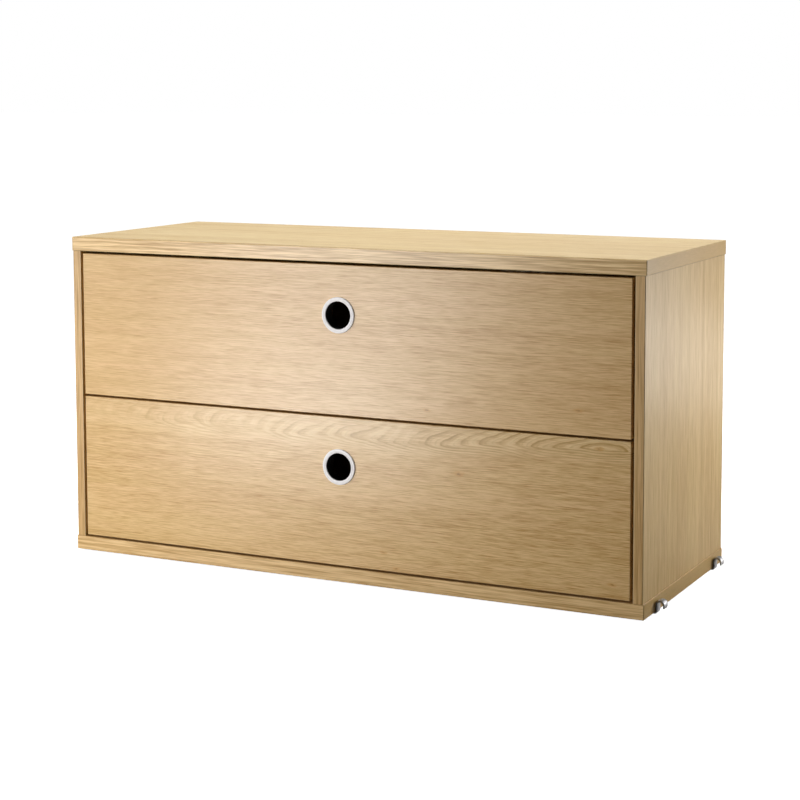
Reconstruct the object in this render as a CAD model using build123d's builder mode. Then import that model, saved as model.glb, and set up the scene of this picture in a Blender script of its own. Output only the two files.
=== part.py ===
from build123d import *
import os

# Drawer cabinet that hangs on the rungs of a ladder shelving frame.
# Origin: on the ground under the middle of the cabinet, +X right, +Y to the back, +Z up, millimetres.

# Carcass
carcass_width = 780.0
carcass_depth = 300.0
carcass_height = 410.0
board_thickness = 18.0       # top and bottom boards
side_thickness = 12.0
side_inset = 1.5             # the side boards stand this far in from the ends of the top and bottom boards
back_thickness = 5.0
back_inset = 8.0             # rear edge of the carcass to the back board
back_housing = 6.0           # depth of the grooves that hold the back board
joint_fit = 0.1              # gap on each face of a tongue or a housed board
housing_relief = 0.4         # gap at the end of a housed board or tongue
edge_ease = 0.6              # small chamfer on the edges that hands touch

# Loose tongues between the side boards and the top and bottom boards
tongue_thickness = 4.0
tongue_reach = 8.0           # into each board
tongue_margin = 30.0         # from the front edge, and from the back board

# Drawer fronts, set into the carcass
front_thickness = 16.0
gap_below_fronts = 2.5
gap_between_fronts = 2.5
gap_above_fronts = 3.0
gap_beside_fronts = 3.25

# Finger hole in each front, with its ring and sleeve
grip_drop = 61.0             # top edge of the front to the centre of the hole
grip_bore_radius = 20.0
grip_hole_radius = 17.0
ring_radius = 22.0
ring_proud = 1.5
grip_fit = 0.15              # radial gap between the bore and the sleeve

# Drawer boxes
box_rear_clearance = 16.0    # rear ends of the drawer sides to the back board
box_side_height = 140.0
box_side_thickness = 12.0
box_side_lift = 15.0         # lower edge of the front to the lower edge of the drawer sides
box_back_setback = 10.0      # rear end of the drawer sides to the drawer back
box_back_thickness = 12.0
box_back_drop = 12.0         # the drawer back is lower than the sides by this much
box_housing = 5.0            # depth of the housings that join the drawer box
box_bottom_thickness = 4.0
box_bottom_lift = 10.0       # lower edge of the drawer sides to the underside of the drawer bottom

# Steel roller runners: a channel on each carcass side, an angle on each drawer side
runner_space = 12.5          # carcass side to drawer side
runner_sheet = 1.2
runner_setback = 2.0         # behind the drawer front
runner_rear_margin = 3.0     # rear ends of the runners to the rear ends of the drawer sides
channel_reach = 10.9         # width of the channel's flanges
channel_height = 23.0        # inside
channel_lip = 1.5
channel_lift = 1.0           # lower edge of the drawer sides to the channel's floor
angle_reach = 9.5            # width of the drawer angle's running flange
bend_chamfer = 0.5

# Rollers and the stub axles that they turn on
front_roller_radius = 8.8
rear_roller_radius = 11.3
roller_width = 5.8
roller_bore_play = 0.1
roller_side_play = 0.3
front_roller_setback = 12.0  # front end of the channel to the front rollers' axis
roller_clearance = 0.2       # between a roller and the steel that it runs on
axle_radius = 2.5
axle_end = 0.6               # from a roller's flat face to the end of its axle
boss_size = 8.0              # square boss that holds a rear roller clear of the channel's lip
stop_clearance = 0.3         # rear roller to the channel's stop
stop_height = 15.0
flange_end_gap = 2.4         # running flange's rear end to the rear roller

# Steel hangers that drop over the rungs
hanger_thickness = 2.0
hanger_width = 12.0
hanger_tab = 34.0            # length under the bottom board
hanger_bend = 1.2            # chamfer outside the lower bend
rung_slot_radius = 3.5
rung_slot_height = 8.5       # underside of the bottom board to the slot's centre
hanger_tip_height = 4.5      # underside of the bottom board to the end of the outer leg
front_hanger_setback = 46.0  # front edge of the carcass to the middle of the front hangers
rear_hanger_setback = 33.0   # rear edge of the carcass to the middle of the rear hangers
screw_hole_radius = 1.9
screw_hole_depth = 12.0      # into the bottom board
screw_setback = 20.0         # end of the bottom board to the screw holes

# Places that follow from the sizes above
base_z = hanger_thickness
floor_z = base_z + board_thickness
ceiling_z = base_z + carcass_height - board_thickness
top_z = base_z + carcass_height
front_y = (ring_proud - carcass_depth) / 2
rear_y = front_y + carcass_depth
board_end = carcass_width / 2
side_outer = board_end - side_inset
side_inner = side_outer - side_thickness
side_middle = (side_outer + side_inner) / 2
back_y = rear_y - back_inset - back_thickness
front_width = 2 * (side_inner - gap_beside_fronts)
gap_heights = gap_below_fronts + gap_between_fronts + gap_above_fronts
front_height = (ceiling_z - floor_z - gap_heights) / 2
box_y = front_y + front_thickness
box_end_y = back_y - box_rear_clearance
box_back_y = box_end_y - box_back_setback - box_back_thickness
box_outer = side_inner - runner_space
box_inner = box_outer - box_side_thickness
runner_y = box_y + runner_setback
runner_end_y = box_end_y - runner_rear_margin
front_axis_y = runner_y + front_roller_setback
stop_y = runner_end_y - runner_sheet
rear_axis_y = stop_y - stop_clearance - rear_roller_radius
front_axis_lift = roller_clearance + front_roller_radius
rear_axis_lift = roller_clearance + rear_roller_radius
flange_lift = front_axis_lift + front_roller_radius + roller_clearance
front_roller_x = side_inner - runner_sheet - roller_side_play - roller_width
rear_roller_x = side_inner - channel_reach + runner_sheet + roller_clearance
hanger_places = {
    "front": front_y + front_hanger_setback,
    "rear": rear_y - rear_hanger_setback,
}
drawers = {
    "lower": floor_z + gap_below_fronts,
    "upper": floor_z + gap_below_fronts + front_height + gap_between_fronts,
}
sides = {"left": -1, "right": 1}


def slab(x, y, z, mode=Mode.ADD):
    """A rectangular block between three (low, high) pairs, added to or cut from the open part."""
    with Locations((sum(x) / 2, sum(y) / 2, sum(z) / 2)):
        Box(x[1] - x[0], y[1] - y[0], z[1] - z[0], mode=mode)


def across(side, near, far):
    """The (low, high) pair in X between two distances from the middle, on one side."""
    return tuple(sorted((side * near, side * far)))


def save(piece, name):
    piece.part.label = name
    export_step(piece.part, f"parts/{name}.step")


def tongue_slots(z_low, z_high):
    """Grooves for the loose tongues, cut between two heights over both side boards."""
    half = tongue_thickness / 2 + joint_fit
    y = (front_y + tongue_margin - housing_relief, back_y - tongue_margin + housing_relief)
    for side in sides.values():
        slab(across(side, side_middle - half, side_middle + half), y, (z_low, z_high), Mode.SUBTRACT)


def back_groove(x, z):
    """The groove that holds the back board, cut over the given spans."""
    slab(x, (back_y - joint_fit, back_y + back_thickness + joint_fit), z, Mode.SUBTRACT)


def make_end_board(name, z, inner_z, inward):
    """The top or bottom board: inner_z is its face towards the drawers, inward the way into the carcass."""
    with BuildPart() as board:
        slab((-board_end, board_end), (front_y, rear_y), z)
        chamfer(board.edges(), edge_ease)
        depth_z = inner_z - inward * (tongue_reach + housing_relief)
        tongue_slots(min(inner_z, depth_z), max(inner_z, depth_z))
        groove_z = inner_z - inward * back_housing
        back_groove((-side_inner - back_housing, side_inner + back_housing), sorted((inner_z, groove_z)))
        if inward > 0:
            for side in sides.values():
                for y in hanger_places.values():
                    with Locations(Plane((side * (board_end - screw_setback), y, z[0]), z_dir=(0, 0, -1))):
                        Hole(screw_hole_radius, depth=screw_hole_depth)
    save(board, name)


def make_side_board(name, side):
    with BuildPart() as board:
        slab(across(side, side_inner, side_outer), (front_y, rear_y), (floor_z, ceiling_z))
        front_edges = board.edges().filter_by(Axis.Z).group_by(Axis.Y)[0]
        chamfer(front_edges, edge_ease)
        reach = tongue_reach + housing_relief
        tongue_slots(floor_z, floor_z + reach)
        tongue_slots(ceiling_z - reach, ceiling_z)
        back_groove(across(side, side_inner, side_inner + back_housing), (floor_z, ceiling_z))
    save(board, name)


def make_back_board():
    reach = back_housing - housing_relief
    with BuildPart() as board:
        x = (-side_inner - reach, side_inner + reach)
        slab(x, (back_y, back_y + back_thickness), (floor_z - reach, ceiling_z + reach))
    save(board, "back_panel")


def make_tongues():
    half = tongue_thickness / 2
    y = (front_y + tongue_margin, back_y - tongue_margin)
    with BuildPart() as tongues:
        for side in sides.values():
            for z in (floor_z, ceiling_z):
                x = across(side, side_middle - half, side_middle + half)
                slab(x, y, (z - tongue_reach, z + tongue_reach))
    save(tongues, "side_tongues")


def make_hanger(name, side, y):
    """A steel strip: a tab under the bottom board, a leg up its end and an arch that drops over a rung."""
    slot_z = base_z + rung_slot_height
    leg_x = board_end + hanger_thickness
    slot_x = leg_x + rung_slot_radius
    outer_x = slot_x + rung_slot_radius
    tip_x = outer_x + hanger_thickness
    tip_z = base_z + hanger_tip_height
    tab_x = board_end - hanger_tab
    arch_z = slot_z + rung_slot_radius
    with BuildPart() as hanger:
        with BuildSketch(Plane.XZ.offset(-y - hanger_width / 2)):
            with BuildLine():
                Polyline((tab_x, 0), (leg_x - hanger_bend, 0), (leg_x, hanger_bend), (leg_x, slot_z))
                ThreePointArc((leg_x, slot_z), (slot_x, arch_z), (outer_x, slot_z))
                Polyline((outer_x, slot_z), (outer_x, tip_z), (tip_x, tip_z), (tip_x, slot_z))
                ThreePointArc((tip_x, slot_z), (slot_x, arch_z + hanger_thickness), (board_end, slot_z))
                Polyline((board_end, slot_z), (board_end, base_z), (tab_x, base_z), (tab_x, 0))
            make_face()
        extrude(amount=hanger_width)
        with Locations(Plane((board_end - screw_setback, y, 0), z_dir=(0, 0, -1))):
            Hole(screw_hole_radius, depth=hanger_thickness)
        if side < 0:
            mirror(about=Plane.YZ, mode=Mode.REPLACE)
    save(hanger, name)


def bottom_groove(x, y, side_z):
    """The groove that holds a drawer's bottom, at its height above the drawer sides' lower edge."""
    z = side_z + box_bottom_lift
    slab(x, y, (z - joint_fit, z + box_bottom_thickness + joint_fit), Mode.SUBTRACT)


def make_front(prefix, z):
    """A drawer front with its finger bore and the housings for the drawer box."""
    side_z = z + box_side_lift
    with BuildPart() as front:
        slab((-front_width / 2, front_width / 2), (front_y, box_y), (z, z + front_height))
        chamfer(front.edges(), edge_ease)
        with Locations(Plane((0, front_y, z + front_height - grip_drop), z_dir=(0, -1, 0))):
            Hole(grip_bore_radius, depth=front_thickness)
        housing_y = (box_y - box_housing, box_y)
        housing_z = (side_z - joint_fit, side_z + box_side_height + joint_fit)
        for side in sides.values():
            slab(across(side, box_inner - joint_fit, box_outer + joint_fit), housing_y, housing_z, Mode.SUBTRACT)
        bottom_groove((-box_inner, box_inner), housing_y, side_z)
    save(front, prefix + "_front")


def make_drawer_side(name, side, z):
    """A drawer side, housed in the front, with a groove for the bottom and a housing for the back."""
    side_z = z + box_side_lift
    y = (box_y - box_housing + housing_relief, box_end_y)
    z_span = (side_z, side_z + box_side_height)
    housing_x = across(side, box_inner, box_inner + box_housing)
    housing_y = (box_back_y - joint_fit, box_back_y + box_back_thickness + joint_fit)
    with BuildPart() as board:
        slab(across(side, box_inner, box_outer), y, z_span)
        top_edges = board.edges().filter_by(Axis.Y).group_by(Axis.Z)[-1]
        chamfer(top_edges, edge_ease)
        bottom_groove(housing_x, (y[0], box_back_y), side_z)
        slab(housing_x, housing_y, z_span, Mode.SUBTRACT)
    save(board, name)


def make_drawer_back(prefix, z):
    side_z = z + box_side_lift
    reach = box_inner + box_housing - housing_relief
    with BuildPart() as board:
        y = (box_back_y, box_back_y + box_back_thickness)
        slab((-reach, reach), y, (side_z, side_z + box_side_height - box_back_drop))
        bottom_groove((-reach, reach), (box_back_y, box_back_y + box_housing), side_z)
    save(board, prefix + "_drawer_back")


def make_drawer_bottom(prefix, z):
    bottom_z = z + box_side_lift + box_bottom_lift
    reach = box_housing - housing_relief
    with BuildPart() as board:
        x = (-box_inner - reach, box_inner + reach)
        y = (box_y - reach, box_back_y + reach)
        slab(x, y, (bottom_z, bottom_z + box_bottom_thickness))
    save(board, prefix + "_drawer_bottom")


def make_grip(prefix, z):
    """The pale ring on the face of a front, and the black sleeve that lines the hole behind it."""
    centre_z = z + front_height - grip_drop
    for name, outer, depths in (
        ("_grip_ring", ring_radius, (-ring_proud, 0)),
        ("_grip_sleeve", grip_bore_radius - grip_fit, (0, front_thickness)),
    ):
        face = Plane((0, front_y + depths[0], centre_z), x_dir=(1, 0, 0), z_dir=(0, 1, 0))
        with BuildPart() as grip:
            with BuildSketch(face):
                Circle(outer)
                Circle(grip_hole_radius, mode=Mode.SUBTRACT)
            extrude(amount=depths[1] - depths[0])
        save(grip, prefix + name)


def axle(x, y, z):
    """A riveted stub axle along X, between a (low, high) pair, added to the open part."""
    with Locations(Location((sum(x) / 2, y, z), (0, 90, 0))):
        Cylinder(axle_radius, x[1] - x[0])


def make_cabinet_runner(name, side, z):
    """A lipped channel on the carcass side, closed at its rear end by a stop for the rear roller."""
    floor = z + box_side_lift + channel_lift
    middle = (side_inner - channel_reach / 2, floor + channel_height / 2)
    mouth = (side_inner - channel_reach + runner_sheet / 2, floor + channel_height / 2)
    with BuildPart() as runner:
        with BuildSketch(Plane.XZ.offset(-runner_y)):
            with Locations(middle):
                Rectangle(channel_reach, channel_height + 2 * runner_sheet)
                Rectangle(channel_reach - 2 * runner_sheet, channel_height, mode=Mode.SUBTRACT)
            with Locations(mouth):
                Rectangle(runner_sheet, channel_height - 2 * channel_lip, mode=Mode.SUBTRACT)
        extrude(amount=runner_y - runner_end_y)
        bends = runner.edges().filter_by(Axis.Y).group_by(Axis.X)[-1]
        chamfer(bends, bend_chamfer)
        stop_x = (side_inner - channel_reach + runner_sheet, side_inner - runner_sheet)
        slab(stop_x, (stop_y, runner_end_y), (floor, floor + stop_height))
        axle_x = (front_roller_x - axle_end, side_inner - runner_sheet)
        axle(axle_x, front_axis_y, floor + front_axis_lift)
        if side < 0:
            mirror(about=Plane.YZ, mode=Mode.REPLACE)
    save(runner, name)


def make_drawer_runner(name, side, z):
    """An angle under the drawer side, whose running flange lies in the channel on the front roller."""
    side_z = z + box_side_lift
    floor = side_z + channel_lift
    flange_z = floor + flange_lift
    flange_top = flange_z + runner_sheet
    flange_tip = box_outer + angle_reach
    flange_end_y = rear_axis_y - rear_roller_radius - flange_end_gap
    with BuildPart() as runner:
        with BuildSketch(Plane.XZ.offset(-runner_y)):
            with BuildLine():
                Polyline(
                    (box_inner, side_z - runner_sheet),
                    (box_outer + runner_sheet, side_z - runner_sheet),
                    (box_outer + runner_sheet, flange_z),
                    (flange_tip, flange_z),
                    (flange_tip, flange_top + channel_lip),
                    (flange_tip - runner_sheet, flange_top + channel_lip),
                    (flange_tip - runner_sheet, flange_top),
                    (box_outer, flange_top),
                    (box_outer, side_z),
                    (box_inner, side_z),
                    close=True,
                )
            make_face()
        extrude(amount=runner_y - runner_end_y)
        notch_x = (box_outer + runner_sheet, flange_tip)
        slab(notch_x, (flange_end_y, runner_end_y), (flange_z, flange_top + channel_lip), Mode.SUBTRACT)
        web_x = box_outer + runner_sheet
        axis_z = floor + rear_axis_lift
        boss_y = (rear_axis_y - boss_size / 2, rear_axis_y + boss_size / 2)
        boss_z = (axis_z - boss_size / 2, axis_z + boss_size / 2)
        slab((web_x, rear_roller_x - roller_side_play), boss_y, boss_z)
        axle((web_x, rear_roller_x + roller_width + axle_end), rear_axis_y, axis_z)
        if side < 0:
            mirror(about=Plane.YZ, mode=Mode.REPLACE)
    save(runner, name)


def make_roller(name, side, inner_x, y, z, radius):
    """A nylon roller whose inner flat face lies at inner_x from the middle."""
    low_x = across(side, inner_x, inner_x + roller_width)[0]
    with BuildPart() as roller:
        with BuildSketch(Plane((low_x, y, z), x_dir=(0, 1, 0), z_dir=(1, 0, 0))):
            Circle(radius)
            Circle(axle_radius + roller_bore_play, mode=Mode.SUBTRACT)
        extrude(amount=roller_width)
    save(roller, name)


os.makedirs("parts", exist_ok=True)
make_end_board("top_panel", (ceiling_z, top_z), ceiling_z, -1)
make_end_board("bottom_panel", (base_z, floor_z), floor_z, 1)
make_back_board()
make_tongues()
for side_name, side in sides.items():
    make_side_board(side_name + "_side_panel", side)
    for place, y in hanger_places.items():
        make_hanger(f"{place}_{side_name}_hanger", side, y)
for prefix, z in drawers.items():
    make_front(prefix, z)
    make_grip(prefix, z)
    make_drawer_back(prefix, z)
    make_drawer_bottom(prefix, z)
    for side_name, side in sides.items():
        make_drawer_side(f"{prefix}_{side_name}_drawer_side", side, z)
        make_cabinet_runner(f"{prefix}_{side_name}_cabinet_runner", side, z)
        make_drawer_runner(f"{prefix}_{side_name}_drawer_runner", side, z)
        floor = z + box_side_lift + channel_lift
        front_z = floor + front_axis_lift
        rear_z = floor + rear_axis_lift
        name = f"{prefix}_{side_name}_front_roller"
        make_roller(name, side, front_roller_x, front_axis_y, front_z, front_roller_radius)
        name = f"{prefix}_{side_name}_rear_roller"
        make_roller(name, side, rear_roller_x, rear_axis_y, rear_z, rear_roller_radius)
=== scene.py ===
import math

import bmesh
import bpy
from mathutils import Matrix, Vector


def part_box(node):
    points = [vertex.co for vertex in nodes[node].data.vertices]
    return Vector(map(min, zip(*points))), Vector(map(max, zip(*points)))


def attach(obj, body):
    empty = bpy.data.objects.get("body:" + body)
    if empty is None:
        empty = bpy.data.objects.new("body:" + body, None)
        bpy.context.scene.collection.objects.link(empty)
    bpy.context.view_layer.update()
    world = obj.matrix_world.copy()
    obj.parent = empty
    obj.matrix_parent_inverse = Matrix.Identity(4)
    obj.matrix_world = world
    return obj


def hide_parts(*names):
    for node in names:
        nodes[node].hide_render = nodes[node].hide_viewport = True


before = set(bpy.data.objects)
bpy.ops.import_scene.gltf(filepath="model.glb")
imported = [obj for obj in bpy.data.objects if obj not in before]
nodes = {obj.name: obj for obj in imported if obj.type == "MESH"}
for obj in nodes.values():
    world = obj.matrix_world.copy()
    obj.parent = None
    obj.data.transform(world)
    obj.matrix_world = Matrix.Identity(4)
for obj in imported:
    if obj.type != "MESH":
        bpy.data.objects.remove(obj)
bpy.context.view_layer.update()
mm = 0.001
drawerNames = ("lower", "upper")
sideSigns = {"left": -1, "right": 1}
print("frame loaded:", len(nodes), "nodes")


# Small helpers for node trees

def addNode(tree, kind, **settings):
    node = tree.nodes.new(kind)
    for key, value in settings.items():
        setattr(node, key, value)
    return node


def wire(tree, source, target):
    tree.links.new(source, target)


def feed(tree, socket, value):
    # a constant is set on the socket itself, and another node's output is linked to it
    if isinstance(value, (int, float)):
        socket.default_value = value
    elif isinstance(value, tuple):
        socket.default_value = (*value, 1) if socket.type == "RGBA" else value
    else:
        wire(tree, value, socket)


def mathNode(tree, operation, *values, clamp=False):
    node = addNode(tree, "ShaderNodeMath", operation=operation, use_clamp=clamp)
    for socket, value in zip(node.inputs, values):
        feed(tree, socket, value)
    return node.outputs[0]


def plus(tree, first, second):
    return mathNode(tree, "ADD", first, second)


def minus(tree, first, second):
    return mathNode(tree, "SUBTRACT", first, second)


def times(tree, first, second):
    return mathNode(tree, "MULTIPLY", first, second)


def timesPlus(tree, first, second, added):
    return mathNode(tree, "MULTIPLY_ADD", first, second, added)


def vectorNode(tree, operation, *values):
    node = addNode(tree, "ShaderNodeVectorMath", operation=operation)
    for socket, value in zip(node.inputs, values):
        feed(tree, socket, value)
    return node.outputs


def split(tree, vector):
    node = addNode(tree, "ShaderNodeSeparateXYZ")
    wire(tree, vector, node.inputs[0])
    return node.outputs


def mixColour(tree, factor, first, second, blend="MIX"):
    node = addNode(tree, "ShaderNodeMix", data_type="RGBA", blend_type=blend)
    for socket, value in zip((node.inputs[0], node.inputs[6], node.inputs[7]), (factor, first, second)):
        feed(tree, socket, value)
    return node.outputs[2]


def softStep(tree, value, low, high, start=0.0, end=1.0):
    node = addNode(tree, "ShaderNodeMapRange", interpolation_type="SMOOTHSTEP")
    wire(tree, value, node.inputs["Value"])
    for name, amount in (("From Min", low), ("From Max", high), ("To Min", start), ("To Max", end)):
        feed(tree, node.inputs[name], amount)
    return node.outputs["Result"]


def ridge(tree, value, riseStart, riseEnd, fallStart, fallEnd):
    # 1 between a rising and a falling slope, and 0 outside them
    rise = softStep(tree, value, riseStart, riseEnd)
    return times(tree, rise, softStep(tree, value, fallStart, fallEnd, 1.0, 0.0))


def mapped(tree, vector, scale=(1, 1, 1), place=(0, 0, 0), turn=(0, 0, 0)):
    # scales the coordinates, then turns them, then moves them
    node = addNode(tree, "ShaderNodeMapping", vector_type="POINT")
    node.inputs["Scale"].default_value = scale
    node.inputs["Rotation"].default_value = turn
    node.inputs["Location"].default_value = place
    wire(tree, vector, node.inputs["Vector"])
    return node.outputs["Vector"]


def noiseAt(tree, vector, scale, detail=2, roughness=0.5, offset=(0, 0, 0)):
    node = addNode(tree, "ShaderNodeTexNoise", noise_dimensions="3D")
    for name, amount in (("Scale", 1), ("Detail", detail), ("Roughness", roughness)):
        node.inputs[name].default_value = amount
    wire(tree, mapped(tree, vector, scale, offset), node.inputs["Vector"])
    return node.outputs["Fac"]


def swingAt(tree, vector, *settings):
    # the same noise, about zero
    return minus(tree, noiseAt(tree, vector, *settings), 0.5)


def newGroup(name, inputs, outputs):
    # inputs and outputs: the label of each socket and its kind, Float, Vector or Color
    tree = bpy.data.node_groups.new(name, "ShaderNodeTree")
    for way, sockets in (("INPUT", inputs), ("OUTPUT", outputs)):
        for label, kind in sockets.items():
            tree.interface.new_socket(name=label, in_out=way, socket_type="NodeSocket" + kind)
    return tree, addNode(tree, "NodeGroupInput").outputs, addNode(tree, "NodeGroupOutput").inputs


def placeGroup(tree, group, values):
    node = addNode(tree, "ShaderNodeGroup", node_tree=group)
    for label, value in values.items():
        feed(tree, node.inputs[label], value)
    return node.outputs


# Shared effect: wood grain

grainNoise = {       # scale, detail, roughness and offset; the grain runs along X
    "drift": ((3, 11, 11), 2, 0.5),
    "ripple": ((30, 90, 90), 1, 0.5, (2, 8, 3)),
    "clouds": ((3.5, 15, 15), 2, 0.55, (3, 1, 7)),
    "bands": ((3, 75, 75), 2, 0.6, (1, 6, 2)),
    "strokes": ((48, 800, 800), 2, 0.6),
    "fibres": ((90, 1500, 1500), 2, 0.6, (5, 2, 9)),
    "pores": ((55, 900, 900), 1, 0.5, (11, 4, 2)),
    "blush": ((7, 46, 46), 3, 0.6, (8, 8, 1)),
}
grainShape = {
    "ripple": 0.0004, "stroke weight": 2.1, "fibre weight": 1.9, "middle tone": 0.36,
    "pores": (0.56, 0.72), "blush": (0.36, 0.64), "cool": (0.996, 1.004, 0.985), "warm": (1.004, 0.996, 1.01),
    "fibre relief": 0.6, "pore relief": 0.5,
}


def makeWoodGrain():
    tree, given, found = newGroup("woodGrain", {
        "Vector": "Vector", "Pale": "Color", "Dark": "Color", "Streaks": "Float", "Dashes": "Float",
        "Bands": "Float", "Clouds": "Float", "Waviness": "Float",
    }, {"Color": "Color", "Tone": "Float", "Height": "Float"})
    vector = given["Vector"]
    x, y, z = split(tree, vector)
    shift = times(tree, swingAt(tree, vector, *grainNoise["drift"]), given["Waviness"])
    ripple = times(tree, swingAt(tree, vector, *grainNoise["ripple"]), grainShape["ripple"])
    shift = plus(tree, shift, ripple)
    bent = addNode(tree, "ShaderNodeCombineXYZ")
    for socket, value in zip(bent.inputs, (x, plus(tree, y, shift), plus(tree, z, shift))):
        wire(tree, value, socket)
    across = bent.outputs[0]
    clouds, bands, strokes, fibres = (
        swingAt(tree, across, *grainNoise[layer]) for layer in ("clouds", "bands", "strokes", "fibres"))
    poreMask = softStep(tree, noiseAt(tree, across, *grainNoise["pores"]), *grainShape["pores"])
    strong = times(tree, strokes, grainShape["stroke weight"])
    lines = plus(tree, strong, times(tree, fibres, grainShape["fibre weight"]))
    lines = timesPlus(tree, bands, given["Bands"], lines)
    tone = timesPlus(tree, lines, given["Streaks"], grainShape["middle tone"])
    tone = timesPlus(tree, clouds, given["Clouds"], tone)
    tone = timesPlus(tree, poreMask, given["Dashes"], tone)
    tone = mathNode(tree, "ADD", tone, 0.0, clamp=True)
    wire(tree, tone, found["Tone"])
    base = mixColour(tree, tone, given["Pale"], given["Dark"])
    blush = softStep(tree, noiseAt(tree, across, *grainNoise["blush"]), *grainShape["blush"])
    tint = mixColour(tree, blush, grainShape["cool"], grainShape["warm"])
    wire(tree, mixColour(tree, 1.0, base, tint, blend="MULTIPLY"), found["Color"])
    raised = times(tree, fibres, grainShape["fibre relief"])
    wire(tree, minus(tree, raised, times(tree, poreMask, grainShape["pore relief"])), found["Height"])
    return tree


# Shared effect: flame figure of a flat-cut board

flameNoise = {       # scale, detail, roughness and offset
    "wander": ((11, 9, 5), 1, 0.55, (7, 2, 2)),
    "fine wobble": ((55, 130, 5), 2, 0.55, (4, 9, 1)),
    "wobble": ((12, 26, 5), 1, 0.55, (1, 1, 1)),
    "patches": ((17, 45, 5), 3, 0.6, (6, 3, 8)),
    "spots": ((12, 40, 5), 3, 0.6, (2, 5, 4)),
    "edge": ((16, 30, 5), 2, 0.55, (3, 3, 6)),
}
flameShape = {       # lengths in metres; lines and glow in parts of the spacing
    "dip": (-0.25, 0.02, -1.0, 0.0), "wander": 0.010, "bluntness": (0.010, 0.0008), "eye": 0.012,
    "fine wobble": 0.14, "first turn": 0.5, "line": (0.58, 0.84, 0.88, 1.0), "fine lines": 3.0,
    "fine line": (0.4, 0.75, 0.8, 1.0), "fine weight": 0.45, "fade": (-0.45, -0.15, 0.45, 1.0),
    "patches": (0.38, 0.60, 0.15, 1.0), "whole rings": (0.03, 0.09, 0.9, 0.0),
    "glow": (0.0, 0.22, 0.34, 0.62), "glow fade": (-0.66, -0.54, 0.2, 1.0), "spots": (0.42, 0.58),
    "edge": 0.02, "full width": 0.004, "ground": (0.7, 0.3),
}


def makeFlameFigure():
    # pointed arches that open to the right, and ovals round the eye at their end
    tree, given, found = newGroup("flameFigure", {
        "Vector": "Vector", "Eye": "Vector", "Dip": "Float", "Stretch": "Float", "Steepness": "Float",
        "Spacing": "Float", "Drift": "Float", "Reach above": "Float", "Reach below": "Float",
    }, {"Lines": "Float", "Glow": "Float"})
    place = vectorNode(tree, "SUBTRACT", given["Vector"], given["Eye"])[0]
    parts = split(tree, place)
    x, y = parts["X"], parts["Y"]

    def swing(layer):
        return swingAt(tree, place, *flameNoise[layer])

    def hypot(first, second):
        return mathNode(tree, "SQRT", timesPlus(tree, first, first, times(tree, second, second)))

    # how far along the rings a point is, from its height over a dipping axis and its distance from the eye
    dip = times(tree, softStep(tree, x, *flameShape["dip"]), given["Dip"])
    rise = timesPlus(tree, swing("wander"), flameShape["wander"], dip)
    fromAxis = minus(tree, y, rise)
    upper = times(tree, mathNode(tree, "MAXIMUM", fromAxis, 0.0), given["Steepness"])
    skewed = plus(tree, upper, mathNode(tree, "MINIMUM", fromAxis, 0.0))
    sideways = mathNode(tree, "ABSOLUTE", x)
    blunt = timesPlus(tree, sideways, *flameShape["bluntness"])             # rounder arches far away
    opening = minus(tree, hypot(skewed, blunt), blunt)
    along = mathNode(tree, "DIVIDE", hypot(x, flameShape["eye"]), given["Stretch"])
    wobble = timesPlus(tree, swing("fine wobble"), flameShape["fine wobble"], swing("wobble"))
    ring = timesPlus(tree, wobble, given["Drift"], plus(tree, opening, along))
    turn = plus(tree, mathNode(tree, "DIVIDE", ring, given["Spacing"]), flameShape["first turn"])
    phase = mathNode(tree, "FRACT", turn)

    # dark lines, with finer ones between them, and the pale ground that glows beside them
    line = ridge(tree, phase, *flameShape["line"])
    fine = mathNode(tree, "FRACT", times(tree, turn, flameShape["fine lines"]))
    line = timesPlus(tree, ridge(tree, fine, *flameShape["fine line"]), flameShape["fine weight"], line)
    line = times(tree, line, softStep(tree, x, *flameShape["fade"]))
    patchy = softStep(tree, noiseAt(tree, place, *flameNoise["patches"]), *flameShape["patches"])
    patchy = mathNode(tree, "MAXIMUM", patchy, softStep(tree, sideways, *flameShape["whole rings"]))
    glow = times(tree, ridge(tree, phase, *flameShape["glow"]), softStep(tree, x, *flameShape["glow fade"]))
    spots = softStep(tree, noiseAt(tree, place, *flameNoise["spots"]), *flameShape["spots"])
    fromAxis = plus(tree, fromAxis, times(tree, swing("edge"), flameShape["edge"]))
    full = flameShape["full width"]
    below = softStep(tree, times(tree, fromAxis, -1.0), full, given["Reach below"], 1.0, 0.0)
    above = softStep(tree, fromAxis, full, given["Reach above"], 1.0, 0.0)
    mask = times(tree, below, above)
    wire(tree, times(tree, times(tree, line, patchy), mask), found["Lines"])
    ground = timesPlus(tree, times(tree, glow, spots), *flameShape["ground"])
    wire(tree, times(tree, ground, mask), found["Glow"])
    return tree


# Shared effect: pin knot

knotShape = {"ragged": ((210, 420, 210), 2), "raggedness": 1.6, "squeeze": (0.36, 1.0, 1.0),
             "blush": (0.25, 1.3), "heart": (0.0, 0.45)}


def makePinKnot():
    # a tiny knot, drawn out along the grain, with a darker heart
    sockets = {"Vector": "Vector", "Place": "Vector", "Size": "Float"}
    tree, given, found = newGroup("pinKnot", sockets, {"Blush": "Float", "Heart": "Float"})
    local = vectorNode(tree, "SUBTRACT", given["Vector"], given["Place"])[0]
    length = vectorNode(tree, "LENGTH", mapped(tree, local, knotShape["squeeze"]))["Value"]
    reach = mathNode(tree, "DIVIDE", length, given["Size"])
    ragged = swingAt(tree, given["Vector"], *knotShape["ragged"])
    reach = timesPlus(tree, ragged, knotShape["raggedness"], reach)
    wire(tree, softStep(tree, reach, *knotShape["blush"], 1.0, 0.0), found["Blush"])
    wire(tree, softStep(tree, reach, *knotShape["heart"], 1.0, 0.0), found["Heart"])
    return tree


# Shared effect: lines along a board's edges

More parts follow.
